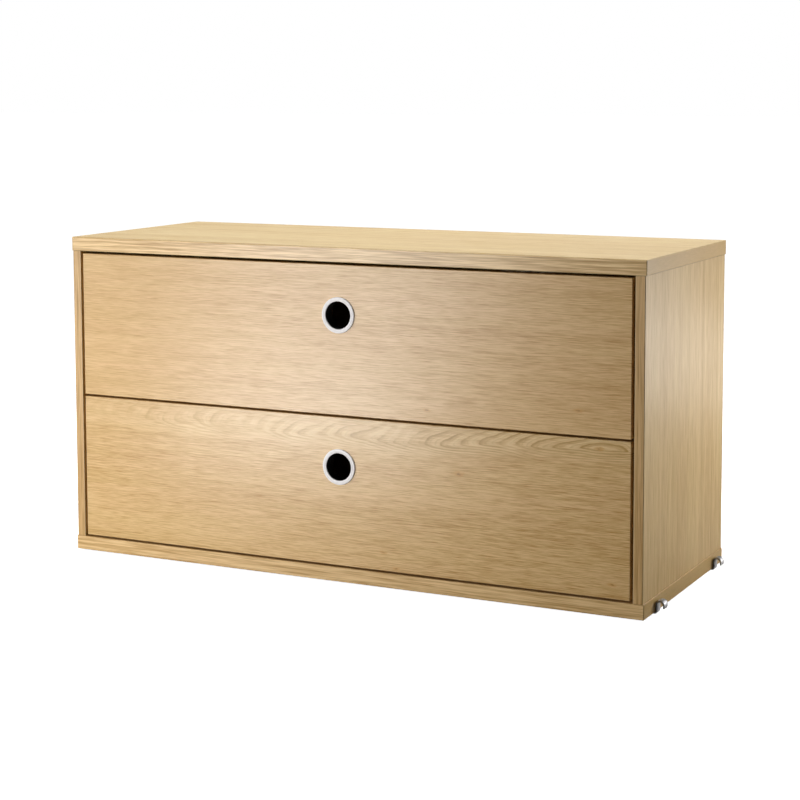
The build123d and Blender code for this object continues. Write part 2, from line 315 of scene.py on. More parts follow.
def makeEdgeLines():
    # masks that fade over the width, along every edge of a box-shaped board and along its upright edges
    sockets = {"Vector": "Vector", "Centre": "Vector", "Half": "Vector", "Width": "Float"}
    tree, given, found = newGroup("edgeLines", sockets, {"Mask": "Float", "Upright": "Float"})
    local = vectorNode(tree, "SUBTRACT", given["Vector"], given["Centre"])[0]
    size = vectorNode(tree, "ABSOLUTE", local)[0]
    x, y, z = split(tree, vectorNode(tree, "SUBTRACT", given["Half"], size)[0])      # depth under each face
    deeper = mathNode(tree, "MAXIMUM", x, y)
    middle = mathNode(tree, "MAXIMUM", mathNode(tree, "MINIMUM", x, y), mathNode(tree, "MINIMUM", deeper, z))
    wire(tree, softStep(tree, middle, 0.0, given["Width"], 1.0, 0.0), found["Mask"])
    wire(tree, softStep(tree, deeper, 0.0, given["Width"], 1.0, 0.0), found["Upright"])
    return tree


# Shared effect: dust

dustShape = {"upward": (0.5, 0.95), "specks": ((420, 420, 420), 3, 0.7), "speck edge": (0.55, 0.75),
             "drift": ((11, 11, 11), 3)}
dustColour = (0.8, 0.78, 0.74)


def makeFineDust():
    # a little dust that lies on faces that look up, and faint smears
    sockets = {"Vector": "Vector", "Amount": "Float"}
    tree, given, found = newGroup("fineDust", sockets, {"Dust": "Float", "Smear": "Float"})
    normal = addNode(tree, "ShaderNodeNewGeometry").outputs["Normal"]
    upward = softStep(tree, split(tree, normal)["Z"], *dustShape["upward"])
    specks = softStep(tree, noiseAt(tree, given["Vector"], *dustShape["specks"]), *dustShape["speck edge"])
    drift = noiseAt(tree, given["Vector"], *dustShape["drift"])
    dust = times(tree, times(tree, upward, specks), drift)
    wire(tree, times(tree, dust, given["Amount"]), found["Dust"])
    wire(tree, minus(tree, drift, 0.5), found["Smear"])
    return tree


woodGrain = makeWoodGrain()
flameFigure = makeFlameFigure()
pinKnot = makePinKnot()
edgeLines = makeEdgeLines()
fineDust = makeFineDust()
print("shared effects made")


# Helpers for materials

facing = 0.72        # a face looks along an axis if its normal has this much of it


def startMaterial(name):
    material = bpy.data.materials.new(name)
    material.use_nodes = True
    tree = material.node_tree
    shader = tree.nodes["Principled BSDF"]
    coords = addNode(tree, "ShaderNodeTexCoord").outputs["Object"]
    return material, tree, shader, coords


def bumpTo(tree, shader, height, distance):
    node = addNode(tree, "ShaderNodeBump")
    node.inputs["Distance"].default_value = distance
    wire(tree, height, node.inputs["Height"])
    wire(tree, node.outputs["Normal"], shader.inputs["Normal"])


def faceMask(tree, axis):
    parts = split(tree, addNode(tree, "ShaderNodeTexCoord").outputs["Normal"])
    return mathNode(tree, "GREATER_THAN", mathNode(tree, "ABSOLUTE", parts[axis]), facing)


def addDust(tree, coords, colour, amount, tint=dustColour):
    # the dusted colour, and the smears that change the roughness
    dust = placeGroup(tree, fineDust, {"Vector": coords, "Amount": amount})
    return mixColour(tree, dust["Dust"], colour, tint), dust["Smear"]


def wear(nodeName, material):
    mesh = nodes[nodeName].data
    mesh.materials.clear()
    mesh.materials.append(material)


# Oak veneer boards

oakLook = {
    "pale": (0.74, 0.492, 0.222),
    "dark": (0.45, 0.235, 0.048),
    "joint": (0.17, 0.10, 0.035),
    "knot": (0.56, 0.275, 0.05),
    "knot strength": 0.6,
    "knot heart": (0.30, 0.14, 0.03),
    "heart strength": 0.7,
    # colour and fade of the painted highlight along the eased front edge of the side boards
    "arris": (0.82, 0.62, 0.38),
    "arris fade": (0.0006, 0.0013, 0.8, 0.0),
    "dust": 0.10,
    "tone roughness": 0.03,
    "smear roughness": 0.06,
}
turns = {
    "x on front": (math.radians(-90), 0, 0),     # X along the grain, Z becomes Y
    "x on top": (0, 0, 0),
    "z on side": (0, math.radians(90), 0),       # Z along the grain
    "y on side": (0, 0, math.radians(-90)),      # Y along the grain
}


def addGrain(tree, coords, look):
    return placeGroup(tree, woodGrain, {
        "Vector": mapped(tree, coords, look["scale"], look["place"], turns[look["grain"]]),
        "Pale": look["pale"], "Dark": look["dark"], "Streaks": look["streaks"], "Dashes": look["dashes"],
        "Bands": look["wide bands"], "Clouds": look["clouds"], "Waviness": look["waviness"],
    })


def addFlame(tree, coords, colour, flame):
    figure = placeGroup(tree, flameFigure, {
        "Vector": mapped(tree, coords, turn=turns["x on front"]), "Eye": flame["eye"], "Dip": flame["dip"],
        "Stretch": flame["stretch"], "Steepness": flame["steepness"], "Spacing": flame["spacing"],
        "Drift": flame["drift"], "Reach above": flame["above"], "Reach below": flame["below"],
    })
    glowing = times(tree, figure["Glow"], flame["glow"])
    colour = mixColour(tree, glowing, colour, flame["ground"])
    return mixColour(tree, times(tree, figure["Lines"], flame["strength"]), colour, flame["line"])


def addKnot(tree, coords, colour, knot, frontY):
    # on the turned front, Y is the height and Z looks forwards
    spot = placeGroup(tree, pinKnot, {
        "Vector": mapped(tree, coords, turn=turns["x on front"]), "Place": (*knot["at"], -frontY),
        "Size": knot["size"],
    })
    colour = mixColour(tree, times(tree, spot["Blush"], oakLook["knot strength"]), colour, oakLook["knot"])
    heart = times(tree, spot["Heart"], oakLook["heart strength"])
    return mixColour(tree, heart, colour, oakLook["knot heart"])


def addPaintedArrisHighlight(tree, x, colour, highlightX):
    # painted highlight: a pale line where the front edge is eased beside the drawers, standing in for the
    # light the easing catches
    away = mathNode(tree, "ABSOLUTE", minus(tree, x, highlightX))
    line = times(tree, softStep(tree, away, *oakLook["arris fade"]), faceMask(tree, "Y"))
    return mixColour(tree, line, colour, oakLook["arris"])


def oakMaterial(name, look):
    material, tree, shader, coords = startMaterial(name)
    low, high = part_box(look["node"])
    x = split(tree, coords)["X"]
    streaks = softStep(tree, x, *look["calm end"], look["streaks"] * look["calm"], look["streaks"])
    grain = addGrain(tree, coords, {**look, "streaks": streaks})
    colour = grain["Color"]
    if "flame" in look:
        colour = addFlame(tree, coords, colour, look["flame"])
    for knot in look.get("knots", ()):
        colour = addKnot(tree, coords, colour, knot, low.y)
    for band in look.get("bands", ()):
        colour = mixColour(tree, faceMask(tree, band["face"]), colour, addGrain(tree, coords, band)["Color"])
    edges = placeGroup(tree, edgeLines, {
        "Vector": coords, "Centre": tuple((low + high) / 2), "Half": tuple((high - low) / 2),
        "Width": look["edge width"],
    })
    joint = times(tree, edges["Mask"], look["edge joint"])
    joint = mathNode(tree, "MAXIMUM", joint, times(tree, edges["Upright"], look["corner joint"]))
    colour = mixColour(tree, joint, colour, oakLook["joint"])
    # painted highlight along the eased front edge, on the boards that have one
    if "arris" in look:
        colour = addPaintedArrisHighlight(tree, x, colour, look["arris"])
    colour, smear = addDust(tree, coords, colour, oakLook["dust"])
    wire(tree, colour, shader.inputs["Base Color"])
    rough = timesPlus(tree, grain["Tone"], oakLook["tone roughness"], look["roughness"])
    rough = plus(tree, rough, times(tree, smear, oakLook["smear roughness"]))
    wire(tree, rough, shader.inputs["Roughness"])
    shader.inputs["Specular IOR Level"].default_value = look["gloss"]
    bumpTo(tree, shader, grain["Height"], look["relief"])
    return material


boardBase = {
    "pale": oakLook["pale"], "dark": oakLook["dark"], "scale": (1, 1, 1), "streaks": 1.0,
    "calm end": (-0.35, 0.05), "calm": 1.0, "dashes": 0.22, "wide bands": 0.45, "clouds": 0.5,
    "waviness": 0.0045, "edge width": 0.0009, "edge joint": 0.35, "corner joint": 0.0, "roughness": 0.30,
    "gloss": 0.55, "relief": 0.00002,
}
carcassBase = {**boardBase, "edge width": 0.0012, "corner joint": 0.75}
sideBase = {
    **carcassBase, "pale": (0.730, 0.515, 0.230), "dark": (0.45, 0.262, 0.060), "wide bands": 1.3,
    "clouds": 0.8, "grain": "z on side", "scale": (1, 1, 0.45), "streaks": 0.8,
}
bandBase = {
    "pale": (0.82, 0.56, 0.27), "dark": (0.46, 0.26, 0.075), "streaks": 1.2, "dashes": 0.25,
    "wide bands": 0.0, "clouds": 0.4, "waviness": 0.001, "scale": (0.22, 0.5, 0.5),
    "grain": "x on front", "face": "Y",
}
endBand = {
    "pale": (0.62, 0.405, 0.150), "dark": (0.43, 0.265, 0.070), "streaks": 0.35, "dashes": 0.1,
    "wide bands": 0.45, "clouds": 0.4, "waviness": 0.003, "scale": (1, 1, 1), "grain": "y on side",
    "place": (0.1, 0.4, 0.3), "face": "X",
}
topBand = {**bandBase, "pale": (0.90, 0.64, 0.32), "place": (0.3, 0.2, 0.1)}
bottomBand = {**bandBase, "place": (0.6, 0.8, 0.4)}
sideBand = {
    **bandBase, "pale": (0.67, 0.435, 0.185), "dark": (0.37, 0.195, 0.045), "streaks": 0.9,
    "scale": (0.5, 1, 0.22), "grain": "z on side", "place": (0.1, 0.7, 0.3),
}
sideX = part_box("right_side_panel")[0].x                   # inner face of the side boards
boards = {
    # the top's oak is mixed paler and greyer than the other boards: partly its own tone, partly painted sheen
    # standing in for the bright sky it reflects
    "top_panel": {
        **carcassBase, "pale": (0.665, 0.508, 0.256), "dark": (0.43, 0.262, 0.075), "grain": "x on top",
        "place": (0, 0.3, 0), "scale": (0.5, 1, 1), "dashes": 0.08, "wide bands": 1.6, "clouds": 0.15,
        "bands": (topBand, endBand),
    },
    "bottom_panel": {
        **carcassBase, "grain": "x on top", "place": (0.5, 0.9, 0), "bands": (bottomBand, endBand),
    },
    "left_side_panel": {**sideBase, "place": (0.2, 0.1, 0.3), "arris": -sideX, "bands": (sideBand,)},
    "right_side_panel": {
        **sideBase, "place": (0.7, 0.5, 0.2), "arris": sideX, "dashes": 0.08, "bands": (sideBand,),
    },
    "back_panel": {**boardBase, "grain": "x on front", "place": (0.1, 0.8, 0.2), "scale": (0.5, 1, 1)},
    "upper_front": {
        **boardBase, "grain": "x on front", "place": (0.9, 0.15, 0.4), "scale": (0.62, 1, 1.1),
        "calm": 0.65, "wide bands": 0.7,
        "knots": ({"at": (0.309, 0.2366), "size": 0.0024}, {"at": (0.118, 0.223), "size": 0.0019}),
    },
    "lower_front": {
        **boardBase, "pale": (0.755, 0.514, 0.234), "grain": "x on front", "place": (0.4, 0.55, 0.8),
        "scale": (0.65, 1, 1.25), "calm": 0.75, "streaks": 1.1, "wide bands": 0.8,
        "knots": (
            {"at": (0.160, 0.150), "size": 0.0032}, {"at": (0.060, 0.045), "size": 0.0020},
            {"at": (0.077, 0.027), "size": 0.0022}, {"at": (0.352, 0.039), "size": 0.0022},
            {"at": (0.335, 0.1946), "size": 0.0026},
        ),
        "flame": {
            "eye": (0.335, 0.1946, 0.0), "dip": 0.0115, "stretch": 8.3, "steepness": 0.34, "spacing": 0.0028,
            "drift": 0.008, "above": 0.030, "below": 0.020, "strength": 0.95, "glow": 0.5,
            "line": (0.44, 0.25, 0.055), "ground": (0.86, 0.65, 0.33),
        },
    },
}
for nodeName, look in boards.items():
    wear(nodeName, oakMaterial(nodeName + "Oak", {**look, "node": nodeName}))
print("oak boards finished")


# Birch plywood: drawer sides, backs and bottoms, and the loose tongues

plyLook = {
    "pale": (0.76, 0.62, 0.43),
    "dark": (0.60, 0.44, 0.26),
    "scale": (1, 1, 1),
    "streaks": 0.35,
    "dashes": 0.12,
    "wide bands": 0.45,
    "clouds": 0.6,
    "waviness": 0.012,
    "layer": 0.0014,
    "pale layer": (0.70, 0.54, 0.34),
    "dark layer": (0.42, 0.28, 0.14),
    "dark part": (0.44, 0.52),
    "ripple": 0.0003,
    "ripple noise": ((30, 30, 30), 2),
    "glue": (0.25, 0.15, 0.08),
    "glue line": (0.40, 0.46, 0.50, 0.56),
    "glue strength": 0.6,
    "pores": (0.5, 0.7),
    "pore noise": ((900, 900, 900), 2, 0.6),
    "pore strength": 0.3,
    "pore relief": 0.3,
    "dust": 0.12,
    "roughness": 0.46,
    "smear roughness": 0.1,
    "relief": 0.00005,
}


def plyMaterial(name, grainTurn, layerAxis, start, place):
    # smooth faces with a quiet grain, and stacked layers on the edges that lie across layerAxis
    material, tree, shader, coords = startMaterial(name)
    grain = addGrain(tree, coords, {**plyLook, "grain": grainTurn, "place": place})
    depth = minus(tree, split(tree, coords)[layerAxis], start)
    ripple = times(tree, noiseAt(tree, coords, *plyLook["ripple noise"]), plyLook["ripple"])
    phase = mathNode(tree, "DIVIDE", plus(tree, depth, ripple), 2 * plyLook["layer"])
    phase = mathNode(tree, "FRACT", phase)
    layer = softStep(tree, phase, *plyLook["dark part"])
    glue = times(tree, ridge(tree, phase, *plyLook["glue line"]), plyLook["glue strength"])
    pores = noiseAt(tree, coords, *plyLook["pore noise"])
    openPores = times(tree, softStep(tree, pores, *plyLook["pores"]), plyLook["pore strength"])
    stack = mixColour(tree, layer, plyLook["pale layer"], plyLook["dark layer"])
    stack = mixColour(tree, glue, stack, plyLook["glue"])
    stack = mixColour(tree, openPores, stack, plyLook["dark layer"])
    colour = mixColour(tree, faceMask(tree, layerAxis), stack, grain["Color"])
    colour, smear = addDust(tree, coords, colour, plyLook["dust"])
    wire(tree, colour, shader.inputs["Base Color"])
    rough = timesPlus(tree, smear, plyLook["smear roughness"], plyLook["roughness"])
    wire(tree, rough, shader.inputs["Roughness"])
    height = plus(tree, grain["Height"], times(tree, pores, plyLook["pore relief"]))
    bumpTo(tree, shader, height, plyLook["relief"])
    return material


for prefix in drawerNames:
    for side in sideSigns:
        boardName = f"{prefix}_{side}_drawer_side"
        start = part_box(boardName)[0].x
        wear(boardName, plyMaterial(boardName + "Ply", "y on side", "X", start, (0.3, 0.2, 0.6)))
    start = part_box(prefix + "_drawer_back")[0].y
    backPly = plyMaterial(prefix + "BackPly", "x on front", "Y", start, (0.8, 0.4, 0.1))
    wear(prefix + "_drawer_back", backPly)
    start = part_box(prefix + "_drawer_bottom")[0].z
    bottomPly = plyMaterial(prefix + "BottomPly", "x on top", "Z", start, (0.5, 0.7, 0.2))
    wear(prefix + "_drawer_bottom", bottomPly)
wear("side_tongues", plyMaterial("tonguePly", "y on side", "X", 0.0, (0.1, 0.1, 0.9)))
print("plywood finished")


# Metal and plastic finishes

zincLook = {
    "bright": (0.55, 0.545, 0.55),
    "dull": (0.42, 0.42, 0.43),
    "dull part": (0.25, 0.75),
    "bloom scale": 330,
    "bloom weight": 0.5,
    "cloud noise": ((260, 260, 260), 4, 0.6),
    "cloud weight": 0.6,
    "line noise": ((300, 5200, 300), 2, 0.5),
    "line relief": 0.5,
    "roughness": 0.44,
    "cloud roughness": 0.22,
    "relief": 0.00003,
}
mouldedBase = {
    "mottle noise": ((55, 55, 55), 3, 0.6),
    "mottles": (0.35, 0.65),
    "pebble noise": (3, 0.6),
    "pits": (0.5, 0.7),
    "pit strength": 0.35,
    "dust colour": (0.62, 0.60, 0.57),
    "smear roughness": 0.12,
    "pebble roughness": 0.08,
    "coat roughness": 0.22,
}
enamelLook = {**mouldedBase, "colour": (0.78, 0.78, 0.76), "shade": (0.70, 0.70, 0.68), "pebble scale": 1500,
              "dust": 0.25, "roughness": 0.38, "coat": 0.25, "relief": 0.00003}
nylonLook = {**mouldedBase, "colour": (0.80, 0.79, 0.75), "shade": (0.72, 0.70, 0.66), "pebble scale": 900,
             "dust": 0.15, "roughness": 0.44, "coat": 0.0, "relief": 0.00002}
ringLook = {**mouldedBase, "colour": (0.89, 0.86, 0.85), "shade": (0.84, 0.81, 0.80), "pebble scale": 1300,
            "dust": 0.10, "roughness": 0.42, "coat": 0.15, "relief": 0.000012}
sleeveLook = {**mouldedBase, "colour": (0.020, 0.018, 0.015), "shade": (0.030, 0.027, 0.022),
              "pebble scale": 1100, "dust": 0.10, "roughness": 0.62, "coat": 0.0, "relief": 0.00003}


def zincMaterial(name, look):
    material, tree, shader, coords = startMaterial(name)
    blooms = addNode(tree, "ShaderNodeTexVoronoi", feature="SMOOTH_F1")
    blooms.inputs["Scale"].default_value = look["bloom scale"]
    wire(tree, coords, blooms.inputs["Vector"])
    clouds = noiseAt(tree, coords, *look["cloud noise"])
    lines = noiseAt(tree, coords, *look["line noise"])
    bloomed = times(tree, blooms.outputs["Distance"], look["bloom weight"])
    tone = plus(tree, times(tree, clouds, look["cloud weight"]), bloomed)
    colour = mixColour(tree, softStep(tree, tone, *look["dull part"]), look["bright"], look["dull"])
    wire(tree, colour, shader.inputs["Base Color"])
    shader.inputs["Metallic"].default_value = 1.0
    rough = timesPlus(tree, clouds, look["cloud roughness"], look["roughness"])
    wire(tree, rough, shader.inputs["Roughness"])
    bumpTo(tree, shader, plus(tree, times(tree, lines, look["line relief"]), clouds), look["relief"])
    return material


def mouldedMaterial(name, look):
    # plastic or a sprayed coat: fine pebbled skin, soft mottling and a little dust
    material, tree, shader, coords = startMaterial(name)
    mottle = softStep(tree, noiseAt(tree, coords, *look["mottle noise"]), *look["mottles"])
    pebbles = noiseAt(tree, coords, (look["pebble scale"],) * 3, *look["pebble noise"])
    pits = times(tree, softStep(tree, pebbles, *look["pits"]), look["pit strength"])
    colour = mixColour(tree, mottle, look["colour"], look["shade"])
    colour = mixColour(tree, pits, colour, look["shade"])
    colour, smear = addDust(tree, coords, colour, look["dust"], look["dust colour"])
    wire(tree, colour, shader.inputs["Base Color"])
    rough = plus(tree, look["roughness"], times(tree, smear, look["smear roughness"]))
    rough = timesPlus(tree, pebbles, look["pebble roughness"], rough)
    wire(tree, rough, shader.inputs["Roughness"])
    shader.inputs["Coat Weight"].default_value = look["coat"]
    shader.inputs["Coat Roughness"].default_value = look["coat roughness"]
    bumpTo(tree, shader, pebbles, look["relief"])
    return material


finishes = {         # by the slot name of the pieces that have them
    "zinc_steel": zincMaterial("zincCoat", zincLook),
    "white_nylon": mouldedMaterial("whiteNylon", nylonLook),
    "pale_ring": mouldedMaterial("satinWhite", ringLook),
    "black_plastic": mouldedMaterial("blackPlastic", sleeveLook),
}
whiteEnamel = mouldedMaterial("whiteEnamel", enamelLook)
for prefix in drawerNames:
    for side in sideSigns:
        wear(f"{prefix}_{side}_cabinet_runner", whiteEnamel)
        wear(f"{prefix}_{side}_drawer_runner", whiteEnamel)
print("metal and plastic finishes made")


# Helpers that turn a bmesh into a piece

meshing = {"merge": 0.000001, "smooth under": 35, "easing steps": 4}


def newPiece(name, shape, slotName, body, replaced=()):
    bmesh.ops.remove_doubles(shape, verts=shape.verts, dist=meshing["merge"])
    bmesh.ops.recalc_face_normals(shape, faces=shape.faces)
    for face in shape.faces:
        face.smooth = True
    for edge in shape.edges:
        edge.smooth = edge.calc_face_angle(0) < math.radians(meshing["smooth under"])
    mesh = bpy.data.meshes.new(name)
    shape.to_mesh(mesh)
    shape.free()
    mesh.materials.append(finishes[slotName])
    piece = bpy.data.objects.new(name, mesh)
    bpy.context.scene.collection.objects.link(piece)
    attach(piece, body)
    if replaced:
        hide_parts(*replaced)


def spunShape(profile, centre, axis, steps, easings=None):
    # profile: closed, (along the axis, radius) pairs in mm; easings: corner number and radius in mm
    shape = bmesh.new()
    axis = Vector(axis)
    outward = axis.orthogonal().normalized()
    corners = [shape.verts.new(Vector(centre) + (axis * along + outward * radius) * mm)
               for along, radius in profile]
    for number, corner in enumerate(corners):
        shape.edges.new((corner, corners[(number + 1) % len(corners)]))
    for number, easing in (easings or {}).items():
        bmesh.ops.bevel(shape, geom=[corners[number]], offset=easing * mm, affect="VERTICES",
                        segments=meshing["easing steps"], profile=0.5, material=-1)
    bmesh.ops.spin(shape, geom=shape.verts[:] + shape.edges[:], cent=centre, axis=axis, dvec=(0, 0, 0),
                   angle=2 * math.pi, steps=steps, use_merge=True)
    # the points on the axis become one, and a profile's edge along the axis is left without faces
    bmesh.ops.remove_doubles(shape, verts=shape.verts, dist=meshing["merge"])
    bmesh.ops.delete(shape, geom=[edge for edge in shape.edges if not edge.link_faces], context="EDGES")
    return shape


# Grip rings and sleeves

gripRing = {
    "rim": 22.0, "hole": 17.0, "proud": 1.5, "outer easing": 0.55, "inner easing": 0.45, "groove": 19.3,
    "groove width": 0.5, "groove floor": 0.2, "groove depth": 0.16, "steps": 96,
}
gripSleeve = {"outside": 19.85, "hole": 17.0, "rear hole": 17.3, "lip easing": 0.6, "steps": 96}


def makeGripRing(prefix):
    low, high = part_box(prefix + "_grip_ring")
    centre = ((low.x + high.x) / 2, high.y, (low.z + high.z) / 2)
    proud, groove = gripRing["proud"], gripRing["groove"]
    floorDepth = proud - gripRing["groove depth"]
    half, halfFloor = gripRing["groove width"] / 2, gripRing["groove floor"] / 2
    profile = [
        (0, gripRing["hole"]), (proud, gripRing["hole"]), (proud, groove - half),
        (floorDepth, groove - halfFloor), (floorDepth, groove + halfFloor), (proud, groove + half),
        (proud, gripRing["rim"]), (0, gripRing["rim"]),
    ]
    easings = {1: gripRing["inner easing"], 6: gripRing["outer easing"]}
    shape = spunShape(profile, centre, (0, -1, 0), gripRing["steps"], easings)
    newPiece(prefix + "GripRing", shape, "pale_ring", prefix + "_drawer", (prefix + "_grip_ring",))


def makeGripSleeve(prefix):
    low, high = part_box(prefix + "_grip_sleeve")
    centre = ((low.x + high.x) / 2, low.y, (low.z + high.z) / 2)
    depth = (high.y - low.y) / mm
    profile = [
        (0, gripSleeve["hole"]), (depth, gripSleeve["rear hole"]), (depth, gripSleeve["outside"]),
        (0, gripSleeve["outside"]),
    ]
    shape = spunShape(profile, centre, (0, 1, 0), gripSleeve["steps"], {1: gripSleeve["lip easing"]})
    newPiece(prefix + "GripSleeve", shape, "black_plastic", prefix + "_drawer", (prefix + "_grip_sleeve",))


for prefix in drawerNames:
    makeGripRing(prefix)
    makeGripSleeve(prefix)
print("grips made")


# Rollers and the rivet heads on their axles

roller = {
    "bore": 2.6, "hub": 4.4, "rim wall": 2.0, "dish": 0.9, "slope": 0.3, "easing": 0.7, "small easing": 0.25,
    "steps": 72,
}
rivet = {
    "radius": 3.9, "height": 0.5, "under": 0.3, "rim": 0.0, "shoulder": (0.6, 0.72), "crown": 0.3,
    "axle end": 0.6, "steps": 40,
}


def makeRoller(prefix, side, place):
    name = f"{prefix}_{side}_{place}_roller"
    low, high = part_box(name)
    centre = (low + high) / 2
    radius = (high.z - low.z) / 2 / mm
    half = (high.x - low.x) / 2 / mm
    hub, rim, slope = roller["hub"], radius - roller["rim wall"], roller["slope"]
    dished = half - roller["dish"]
    profile = [
        (-half, roller["bore"]), (-half, hub), (-dished, hub + slope), (-dished, rim - slope),
        (-half, rim), (-half, radius), (half, radius), (half, rim),
        (dished, rim - slope), (dished, hub + slope), (half, hub), (half, roller["bore"]),
    ]
    easing, smallEasing = roller["easing"], roller["small easing"]
    easings = {5: easing, 6: easing, 4: smallEasing, 7: smallEasing}
    shape = spunShape(profile, centre, (1, 0, 0), roller["steps"], easings)
    newPiece(f"{prefix}{side.title()}{place.title()}Roller", shape, "white_nylon", name, (name,))


def domedProfile(look):
    # a head with a low dome; the rim's height, the shoulder and the crown are shares of its height and radius
    height, radius, shoulder = look["height"], look["radius"], look["shoulder"]
    return [
        (-look["under"], 0.0), (-look["under"], radius), (height * look["rim"], radius),
        (height * shoulder[0], radius * shoulder[1]), (height, radius * look["crown"]), (height, 0.0),
    ]


def makeRivet(prefix, side, place):
    direction = -sideSigns[side] if place == "front" else sideSigns[side]
    low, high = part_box(f"{prefix}_{side}_{place}_roller")
    axis = (low + high) / 2
    endX = axis.x + direction * ((high.x - low.x) / 2 + rivet["axle end"] * mm)
    shape = spunShape(domedProfile(rivet), (endX, axis.y, axis.z), (direction, 0, 0), rivet["steps"])
    body = "cabinet" if place == "front" else prefix + "_drawer"
    newPiece(f"{prefix}{side.title()}{place.title()}Rivet", shape, "zinc_steel", body)


for prefix in drawerNames:
    for side in sideSigns:
        for place in ("front", "rear"):
            makeRoller(prefix, side, place)
            makeRivet(prefix, side, place)
print("rollers made")


# Cross recess shared by the screws

crossRecess = {"width": 1.1, "depth": 0.75, "taper": 0.55}


def crossCutter(centre, inward, reach):
    # a tapered cross, pushed into a screw head along inward
    cutter = bmesh.new()
    inward = Vector(inward)
    along = inward.orthogonal().normalized()
    wide = inward.cross(along)
    half, depth = crossRecess["width"] / 2, crossRecess["depth"]
    outline, arm = [], [(reach, -half), (reach, half), (half, half)]
    for turn in range(4):
        outline += arm
        arm = [(-y, x) for x, y in arm]
    rings = [[cutter.verts.new(Vector(centre) + ((along * x + wide * y) * scale + inward * level) * mm)
              for x, y in outline] for level, scale in ((-depth, 1.0), (depth, crossRecess["taper"]))]
    for number in range(len(outline)):
        following = (number + 1) % len(outline)
        cutter.faces.new((rings[0][number], rings[0][following], rings[1][following], rings[1][number]))
    for ring in rings:
        cutter.faces.new(ring)
    bmesh.ops.recalc_face_normals(cutter, faces=cutter.faces)
    return cutter


def cutAway(shape, cutter):
    # subtracts the cutter from the shape and returns a new bmesh
    bmesh.ops.recalc_face_normals(shape, faces=shape.faces)
    drafts = []
    for part in (shape, cutter):
        mesh = bpy.data.meshes.new("draft")
        part.to_mesh(mesh)
        part.free()
        drafts.append(bpy.data.objects.new("draft", mesh))
        bpy.context.scene.collection.objects.link(drafts[-1])
    boolean = drafts[0].modifiers.new("cut", "BOOLEAN")
    boolean.operation = "DIFFERENCE"
    boolean.solver = "EXACT"
    boolean.object = drafts[1]
    graph = bpy.context.evaluated_depsgraph_get()
    result = bmesh.new()
    result.from_mesh(drafts[0].evaluated_get(graph).to_mesh())
    for draft in drafts:
        mesh = draft.data
        bpy.data.objects.remove(draft)
        bpy.data.meshes.remove(mesh)
    return result


# Runner screws, with low domed heads

runnerScrew = {
    "radius": 3.1, "height": 0.9, "under": 0.3, "rim": 0.35, "easing": 0.2, "shoulder": (0.8, 0.82),
    "crown": 0.5, "reach": 1.3, "steps": 36, "sheet": 1.2, "above floor": 10.0, "front": 30.0, "rear": 42.0,
    "count": 3,
}


def makeRunnerScrews(prefix, side, kind, body):
    low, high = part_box(f"{prefix}_{side}_{kind}_runner")
    sign = sideSigns[side]
    outward = -sign if kind == "cabinet" else sign
    if kind == "cabinet":
        # inner face of the channel's web
        wallX = sign * (max(abs(low.x), abs(high.x)) - runnerScrew["sheet"] * mm)
    else:
        # outer face of the angle, which lies on the drawer side
        boardLow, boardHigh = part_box(f"{prefix}_{side}_drawer_side")
        wallX = (boardLow.x if side == "left" else boardHigh.x) + sign * runnerScrew["sheet"] * mm
    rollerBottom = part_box(f"{prefix}_{side}_rear_roller")[0].z         # 0.2 mm above the channel's floor
    screwZ = rollerBottom + runnerScrew["above floor"] * mm
    first, last = low.y + runnerScrew["front"] * mm, high.y - runnerScrew["rear"] * mm
    profile, easings = domedProfile(runnerScrew), {2: runnerScrew["easing"]}
    for number in range(runnerScrew["count"]):
        y = first + (last - first) * number / (runnerScrew["count"] - 1)
        centre = Vector((wallX, y, screwZ))
        shape = spunShape(profile, centre, (outward, 0, 0), runnerScrew["steps"], easings)
        headTop = centre + Vector((outward * runnerScrew["height"] * mm, 0, 0))
        shape = cutAway(shape, crossCutter(headTop, (-outward, 0, 0), runnerScrew["reach"]))
        newPiece(f"{prefix}{side.title()}{kind.title()}Screw{number + 1}", shape, "zinc_steel", body)


for prefix in drawerNames:
    for side in sideSigns:
        makeRunnerScrews(prefix, side, "cabinet", "cabinet")
        makeRunnerScrews(prefix, side, "drawer", prefix + "_drawer")
print("runner screws made")


# Hangers: a bent strip with a countersunk screw

hanger = {
    "sheet": 2.0, "bend": 0.6, "bend steps": 8, "slot": 3.5, "slot height": 10.5, "arch steps": 28,
    "tip": 6.5, "edge": 0.28, "edge steps": 3, "sharp over": 60, "screw setback": 20.0, "hole": 2.1,
    "hole steps": 48, "countersink": 3.9,
}
hangerScrew = {
    "head": 3.55, "head edge": 0.2, "easing": 0.1, "sunk": 0.12, "height": 1.85, "core": 1.75, "length": 9.0,
    "point": 1.5, "reach": 1.7, "steps": 40,
}


def bendSections(pivotX, pivotZ, radii, start, end, steps):
    # the strip's two (x, z) points at each step round a bend, in mm
    for step in range(steps + 1):
        angle = math.radians(start + (end - start) * step / steps)
        yield [(pivotX + radius * math.cos(angle), pivotZ + radius * math.sin(angle)) for radius in radii]


def stripShape(sections, lowY, highY):
    # a bent strip with square ends, through pairs of (x, z) points, all in mm
    shape = bmesh.new()
    rings = [[shape.verts.new(Vector((x, y, z)) * mm) for (x, z), y in (
        (first, lowY), (second, lowY), (second, highY), (first, highY))] for first, second in sections]
    for near, far in zip(rings, rings[1:]):
        for corner in range(4):
            following = (corner + 1) % 4
            shape.faces.new((near[corner], near[following], far[following], far[corner]))
    shape.faces.new(rings[0])
    shape.faces.new(rings[-1])
    return shape


